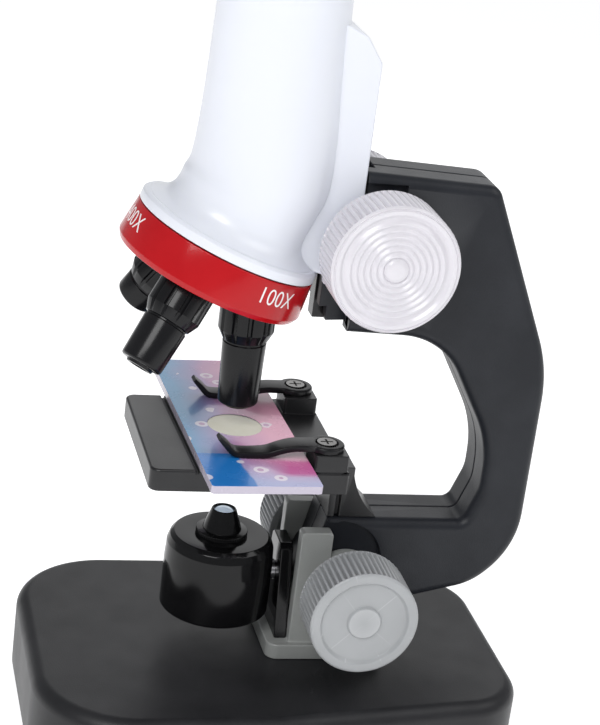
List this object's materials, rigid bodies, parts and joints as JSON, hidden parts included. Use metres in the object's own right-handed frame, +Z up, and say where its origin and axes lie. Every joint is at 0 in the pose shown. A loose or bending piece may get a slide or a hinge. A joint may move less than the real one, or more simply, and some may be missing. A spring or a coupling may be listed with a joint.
{
  "type": "kids microscope",
  "caption": "Toy compound microscope with a tilting arm, rack focus, three-objective turret, stage with clips and a lamp that flips to a mirror.",
  "frame": {"origin": "middle of the footprint at table level", "axes": "+Z up, -Y the front where the user sits over the stage, +Y the arm side, +X the user's right"},
  "size_m": [0.085, 0.12, 0.224],
  "materials": {
    "base_black": "moulded, fine grain",
    "arm_charcoal": "moulded, fine spark-eroded grain",
    "stage_grey": "satin, slightly worn",
    "head_white": "satin bluish white",
    "trim_black": "gloss",
    "turret_red": "high gloss, printed magnification numbers",
    "turret_black": "satin",
    "objective_black": "gloss satin",
    "knob_white": "pearly",
    "knob_grey": "satin grey",
    "fork_grey": "satin light grey",
    "lamp_black": "high gloss",
    "led_clear": "pale blue-white epoxy",
    "board_green": "printed circuit board",
    "steel": "turned",
    "screw_steel": "plated",
    "contact_brass": "plated spring contact",
    "cell_wrap": "plain wrap, plated ends",
    "foot_rubber": "soft rubber",
    "lens_glass": "coated",
    "mirror_glass": "silvered",
    "card_print": "printed card, plain colour gradient and dots",
    "window_clear": "clear film, slightly yellow",
    "eyepiece_black": "satin",
    "eyecup_rubber": "soft rubber",
    "clip_black": "satin",
    "switch_black": "moulded",
    "pinion_white": "natural acetal"
  },
  "bodies": {
    "base": {"base_shell": "base_black", "base_cover": "base_black", "base_screws": "screw_steel", "battery_cells": "cell_wrap", "battery_contacts": "contact_brass", "battery_door": "base_black", "battery_door_screw": "screw_steel", "rubber_feet": "foot_rubber", "switch_body": "switch_black", "tilt_fork": "fork_grey", "fork_screws": "screw_steel", "lamp_bracket": "lamp_black", "bracket_screw": "screw_steel"},
    "switch": {"switch_slider": "switch_black"},
    "lamp": {"lamp_housing": "lamp_black", "lamp_cone": "lamp_black", "led": "led_clear", "led_board": "board_green", "mirror": "mirror_glass", "mirror_bezel": "lamp_black", "lamp_pin": "steel"},
    "arm": {"arm_shell_left": "arm_charcoal", "arm_shell_right": "arm_charcoal", "arm_screws": "screw_steel", "stage_plate": "stage_grey", "stage_bracket": "stage_grey", "stage_screws": "screw_steel", "clip_screw_left": "screw_steel", "clip_screw_right": "screw_steel"},
    "right_clip": {"clip_right": "clip_black"},
    "left_clip": {"clip_left": "clip_black"},
    "slide": {"slide_card": "card_print", "slide_window": "window_clear"},
    "head": {"head_body": "head_white", "head_trim_ring": "trim_black", "focus_rack": "trim_black", "turret_pivot_screw": "screw_steel", "click_ball": "steel"},
    "turret": {"turret_ring": "turret_red", "turret_plate": "turret_black", "objective_long_collar": "objective_black", "objective_long_barrel": "objective_black", "objective_long_lens": "lens_glass", "objective_middle_collar": "objective_black", "objective_middle_barrel": "objective_black", "objective_middle_lens": "lens_glass", "objective_short_collar": "objective_black", "objective_short_barrel": "objective_black", "objective_short_lens": "lens_glass"},
    "eyepiece": {"eyepiece_barrel": "eyepiece_black", "eyecup": "eyecup_rubber", "eye_lens": "lens_glass", "field_lens": "lens_glass"},
    "focus": {"focus_shaft": "steel", "focus_pinion": "pinion_white", "focus_knob_left": "knob_white", "focus_knob_right": "knob_white"},
    "right_tilt_knob": {"tilt_knob_right": "knob_grey", "tilt_axle": "steel"},
    "left_tilt_knob": {"tilt_knob_left": "knob_grey"}
  },
  "joints": [
    {"name": "arm_tilt", "type": "hinge", "parent": "base", "child": "arm", "pos_m": [0, 0.0159, 0.0401], "axis": [-1, 0, 0], "range_deg": [0, 30]},
    {"name": "head_focus", "type": "slide", "parent": "arm", "child": "head", "axis": [0, 0, 1], "range_m": [-0.003, 0.017]},
    {"name": "focus_turn", "type": "hinge", "parent": "arm", "child": "focus", "pos_m": [0, 0.01325, 0.1259], "axis": [1, 0, 0], "range_deg": [-235, 42]},
    {"name": "turret_turn", "type": "hinge", "parent": "head", "child": "turret", "pos_m": [0, -0.014, 0.1424], "axis": [0, -0.3584, -0.9336], "continuous": true},
    {"name": "clip_right_swing", "type": "hinge", "parent": "arm", "child": "right_clip", "pos_m": [0.01764, 0.00435, 0.0792], "axis": [0, 0, 1], "range_deg": [-12, 55]},
    {"name": "clip_left_swing", "type": "hinge", "parent": "arm", "child": "left_clip", "pos_m": [-0.01764, 0.00435, 0.0792], "axis": [0, 0, -1], "range_deg": [-12, 55]},
    {"name": "slide_draw", "type": "slide", "parent": "arm", "child": "slide", "axis": [0.9995, 0.0332, 0], "range_m": [0, 0.06]},
    {"name": "lamp_flip", "type": "hinge", "parent": "base", "child": "lamp", "pos_m": [0, 0, 0.0385], "axis": [0, 1, 0], "range_deg": [0, 180]},
    {"name": "right_tilt_knob_turn", "type": "hinge", "parent": "base", "child": "right_tilt_knob", "pos_m": [0, 0.0159, 0.0401], "axis": [1, 0, 0], "range_deg": [-90, 90]},
    {"name": "left_tilt_knob_turn", "type": "hinge", "parent": "base", "child": "left_tilt_knob", "pos_m": [0, 0.0159, 0.0401], "axis": [-1, 0, 0], "range_deg": [-90, 90]},
    {"name": "eyepiece_lift", "type": "slide", "parent": "head", "child": "eyepiece", "axis": [0, 0, 1], "range_m": [0, 0.025]},
    {"name": "power_switch", "type": "slide", "parent": "base", "child": "switch", "axis": [0, 1, 0], "range_m": [0, 0.004]}
  ],
  "couplings": [
    {"joint": "focus_turn", "follows": "head_focus", "rad_per_m": -238.1}
  ]
}
